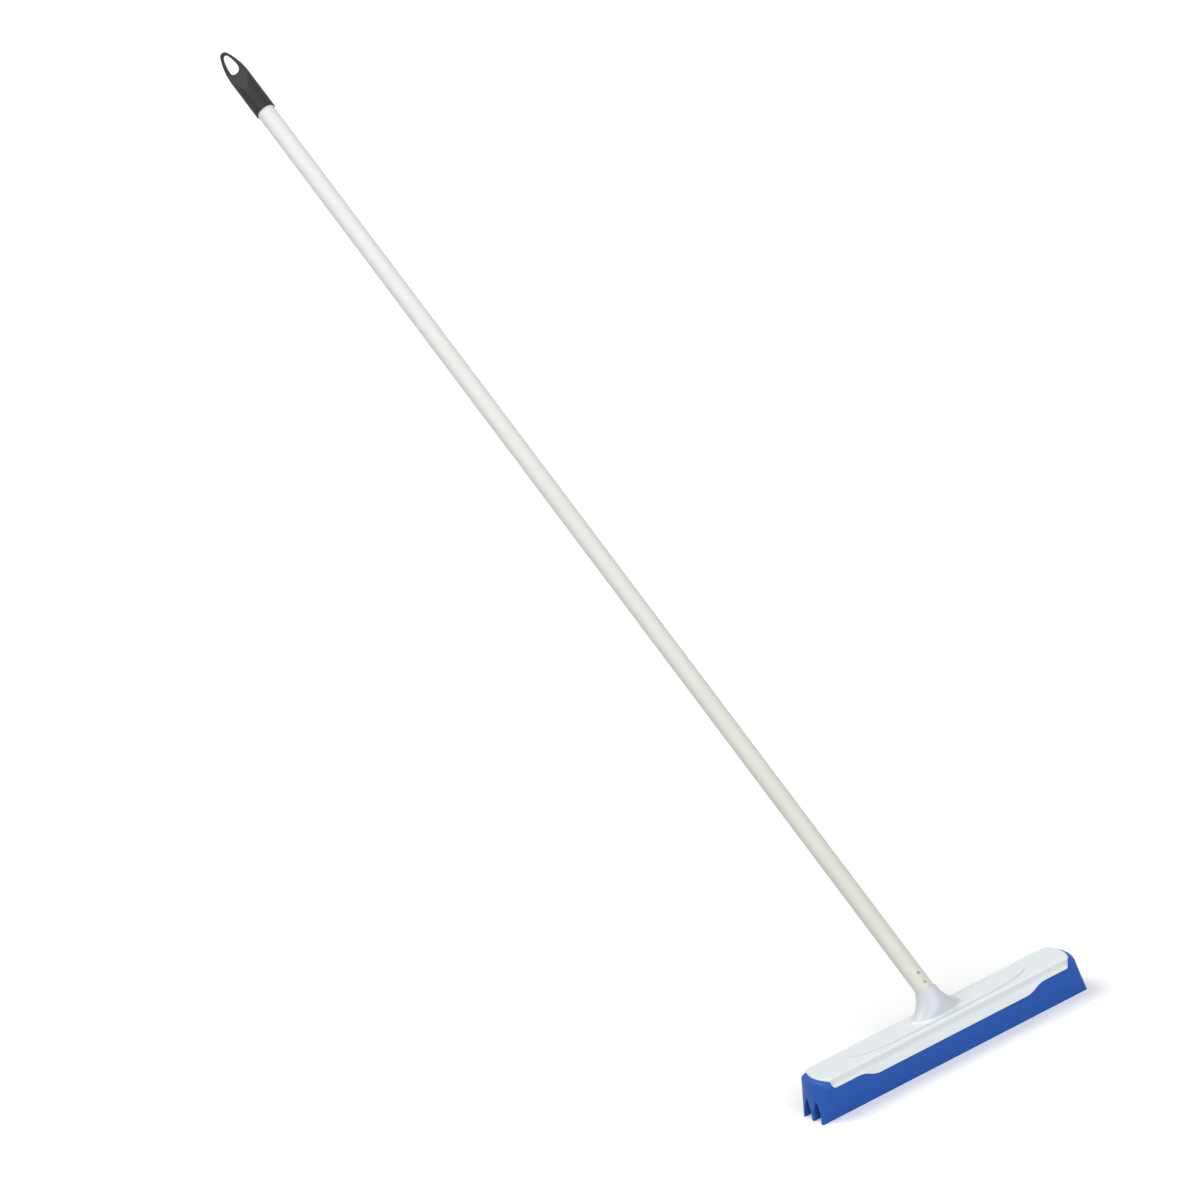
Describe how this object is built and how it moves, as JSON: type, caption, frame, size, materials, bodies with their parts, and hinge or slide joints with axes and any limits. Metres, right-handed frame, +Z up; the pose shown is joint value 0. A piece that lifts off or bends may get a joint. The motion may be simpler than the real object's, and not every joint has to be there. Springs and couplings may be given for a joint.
{
  "type": "floor squeegee",
  "caption": "Floor squeegee with a white moulded cover, a soft blue blade with pointed slots between its lips, and a coated steel handle that screws into a leaning neck and ends in a hang cap.",
  "frame": {"origin": "on the floor under the middle of the middle lip", "axes": "+X along the blade, +Y back towards the end of the handle, +Z up"},
  "size_m": [0.374, 1.1528, 1.0095],
  "materials": {
    "cover_white": "satin moulded polypropylene",
    "blade_blue": "smooth moulded rubber",
    "ferrule_grey": "moulded nylon",
    "tube_cream": "satin coating on steel",
    "cap_black": "fine-grained moulded plastic"
  },
  "bodies": {
    "head": {"head_cover": "cover_white", "blade": "blade_blue"},
    "ferrule": {"thread_ferrule": "ferrule_grey"},
    "handle": {"handle_tube": "tube_cream", "hang_cap": "cap_black"}
  },
  "joints": [
    {"name": "handle_rise", "type": "slide", "parent": "head", "child": "ferrule", "axis": [0, 0.766, 0.6428], "range_m": [0, 0.012]},
    {"name": "handle_turn", "type": "hinge", "parent": "ferrule", "child": "handle", "pos_m": [0, -0.015, 0.0505], "axis": [0, 0.766, 0.6428], "range_deg": [0, 1080]}
  ],
  "couplings": [
    {"joint": "handle_turn", "follows": "handle_rise", "rad_per_m": 1570.8}
  ]
}
